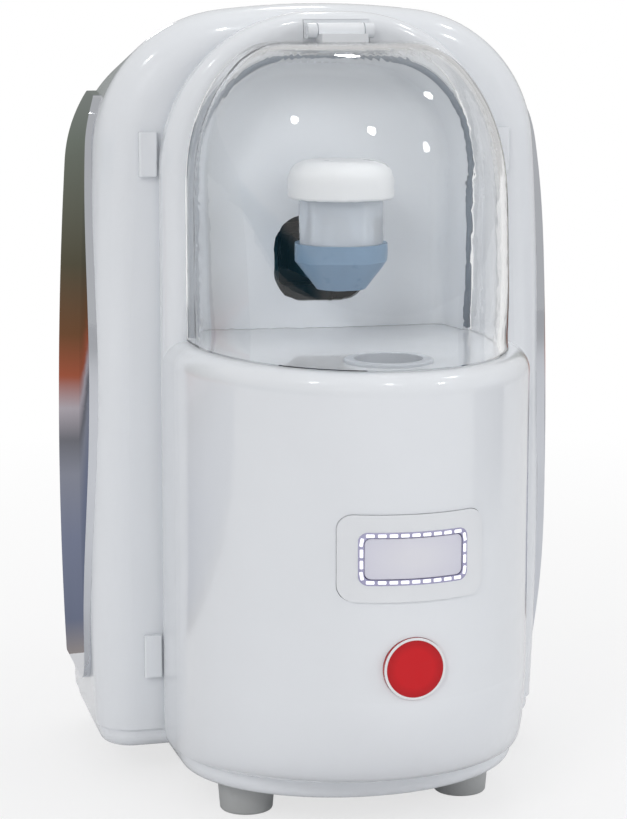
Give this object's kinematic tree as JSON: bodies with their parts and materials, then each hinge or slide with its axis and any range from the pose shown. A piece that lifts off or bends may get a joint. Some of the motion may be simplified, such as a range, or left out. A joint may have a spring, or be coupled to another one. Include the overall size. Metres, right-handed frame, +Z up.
{
  "type": "dental capsule mixer",
  "caption": "Upright bench mixer for dental cement capsules, with a clear hinged hood over a shaking arm, a lit start button and chromed side wings.",
  "frame": {"origin": "on the table under the middle of the machine", "axes": "+Z up, -Y towards the user, +X to the user's right"},
  "size_m": [0.1724, 0.2, 0.2725],
  "materials": {
    "front_shell": "smooth gloss",
    "rear_shell": "smooth gloss",
    "base_tray": "smooth gloss",
    "right_wing": "mirror polished",
    "left_wing": "mirror polished",
    "seam_clips": "smooth gloss",
    "front_badge": "smooth gloss",
    "foot_front_left": "soft matte",
    "foot_front_right": "soft matte",
    "foot_rear_left": "soft matte",
    "foot_rear_right": "soft matte",
    "foot_screws": "plain",
    "housing_screws": "plain",
    "chamber_liner": "smooth gloss",
    "hood_cover": "clear, polished",
    "hood_knuckle": "clear, polished",
    "hinge_bracket": "smooth gloss",
    "hinge_pin": "plain",
    "button_bezel": "smooth gloss",
    "button_light": "smooth gloss",
    "start_button": "fine matte",
    "circuit_board": "fine matte",
    "board_components": "fine matte",
    "board_bracket": "plain",
    "board_screws": "plain",
    "capsule_well": "smooth gloss",
    "chassis": "plain",
    "pivot_pin": "plain",
    "shaft_bearings": "plain",
    "motor_can": "plain",
    "motor_shaft": "plain",
    "eccentric": "plain",
    "counterweight": "plain",
    "mixing_arm": "fine matte",
    "arm_bush": "plain",
    "capsule_cup": "clear, polished",
    "clamp_cap": "smooth gloss",
    "mains_inlet": "fine matte",
    "inlet_pins": "plain",
    "fuse_drawer": "fine matte",
    "fuse": "clear, polished",
    "switch_frame": "fine matte",
    "mains_rocker": "fine matte"
  },
  "bodies": {
    "casing": {"front_shell": "front_shell", "rear_shell": "rear_shell", "base_tray": "base_tray", "right_wing": "right_wing", "left_wing": "left_wing", "seam_clips": "seam_clips", "front_badge": "front_badge", "foot_front_left": "foot_front_left", "foot_front_right": "foot_front_right", "foot_rear_left": "foot_rear_left", "foot_rear_right": "foot_rear_right", "foot_screws": "foot_screws", "housing_screws": "housing_screws", "chamber_liner": "chamber_liner", "hinge_bracket": "hinge_bracket", "hinge_pin": "hinge_pin", "button_bezel": "button_bezel", "button_light": "button_light", "circuit_board": "circuit_board", "board_components": "board_components", "board_bracket": "board_bracket", "board_screws": "board_screws", "capsule_well": "capsule_well", "chassis": "chassis", "pivot_pin": "pivot_pin", "shaft_bearings": "shaft_bearings", "motor_can": "motor_can", "mains_inlet": "mains_inlet", "inlet_pins": "inlet_pins", "switch_frame": "switch_frame"},
    "hood": {"hood_cover": "hood_cover", "hood_knuckle": "hood_knuckle"},
    "arm": {"mixing_arm": "mixing_arm", "arm_bush": "arm_bush", "capsule_cup": "capsule_cup"},
    "cap": {"clamp_cap": "clamp_cap"},
    "button": {"start_button": "start_button"},
    "rotor": {"motor_shaft": "motor_shaft", "eccentric": "eccentric", "counterweight": "counterweight"},
    "drawer": {"fuse_drawer": "fuse_drawer", "fuse": "fuse"},
    "rocker": {"mains_rocker": "mains_rocker"}
  },
  "joints": [
    {"name": "hood_hinge", "type": "hinge", "parent": "casing", "child": "hood", "pos_m": [0, -0.01, 0.2636], "axis": [-1, 0, 0], "range_deg": [0, 75]},
    {"name": "arm_swing", "type": "hinge", "parent": "casing", "child": "arm", "pos_m": [0, 0.054, 0.184], "axis": [1, 0, 0], "range_deg": [-5.7, 5.7]},
    {"name": "cap_turn", "type": "hinge", "parent": "arm", "child": "cap", "pos_m": [0, -0.012, 0.21], "axis": [0, 0, 1], "range_deg": [0, 90]},
    {"name": "start_press", "type": "slide", "parent": "casing", "child": "button", "axis": [0, 1, 0], "range_m": [0, 0.0012]},
    {"name": "motor_spin", "type": "hinge", "parent": "casing", "child": "rotor", "pos_m": [0, 0.054, 0.154], "axis": [1, 0, 0], "continuous": true},
    {"name": "fuse_drawer_slide", "type": "slide", "parent": "casing", "child": "drawer", "axis": [0, 1, 0], "range_m": [0, 0.015]},
    {"name": "mains_switch", "type": "hinge", "parent": "casing", "child": "rocker", "pos_m": [0.022, 0.096, 0.052], "axis": [1, 0, 0], "range_deg": [0, 16]}
  ]
}
